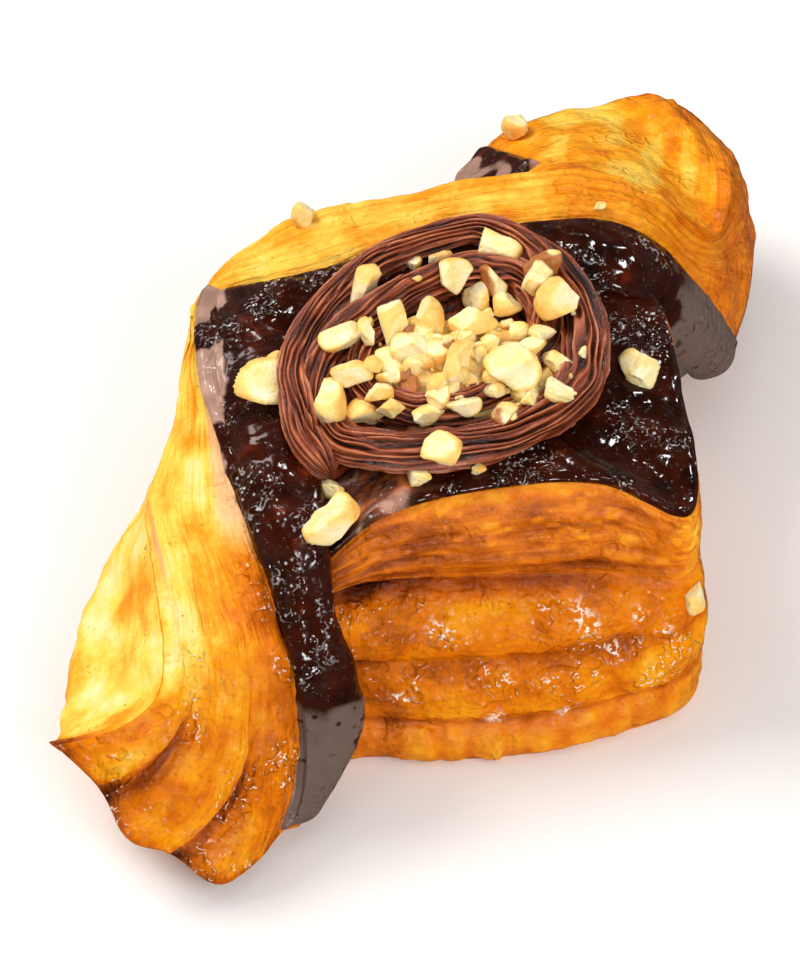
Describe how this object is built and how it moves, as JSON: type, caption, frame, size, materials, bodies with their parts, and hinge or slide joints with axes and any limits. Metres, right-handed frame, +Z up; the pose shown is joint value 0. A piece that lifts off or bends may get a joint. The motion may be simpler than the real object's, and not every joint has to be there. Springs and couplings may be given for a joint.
{
  "type": "danish pastry",
  "caption": "Folded square danish pastry with dark chocolate outer dough, flaky golden cut sides, a piped chocolate cream rosette and chopped hazelnuts.",
  "frame": {"origin": "middle of the box round the pastry, at the height of the surface it rests on", "axes": "+Z up, +X to the right and +Y away from the side with the two stacked folds"},
  "size_m": [0.0942, 0.1236, 0.0493],
  "materials": {
    "dough": "satin",
    "chocolate": "gloss",
    "cream": "satin",
    "nut": "satin"
  },
  "bodies": {
    "root": {"dough": "dough", "chocolate_skin": "chocolate", "ear_skin": "chocolate", "cream_rosette": "cream", "nut_heap": "nut", "nut_01": "nut", "nut_02": "nut", "nut_03": "nut", "nut_04": "nut", "nut_05": "nut", "nut_06": "nut", "nut_07": "nut", "nut_08": "nut", "nut_09": "nut", "nut_10": "nut", "nut_11": "nut", "nut_12": "nut", "nut_13": "nut", "nut_14": "nut", "nut_15": "nut", "nut_16": "nut", "nut_17": "nut", "nut_18": "nut"}
  },
  "joints": []
}
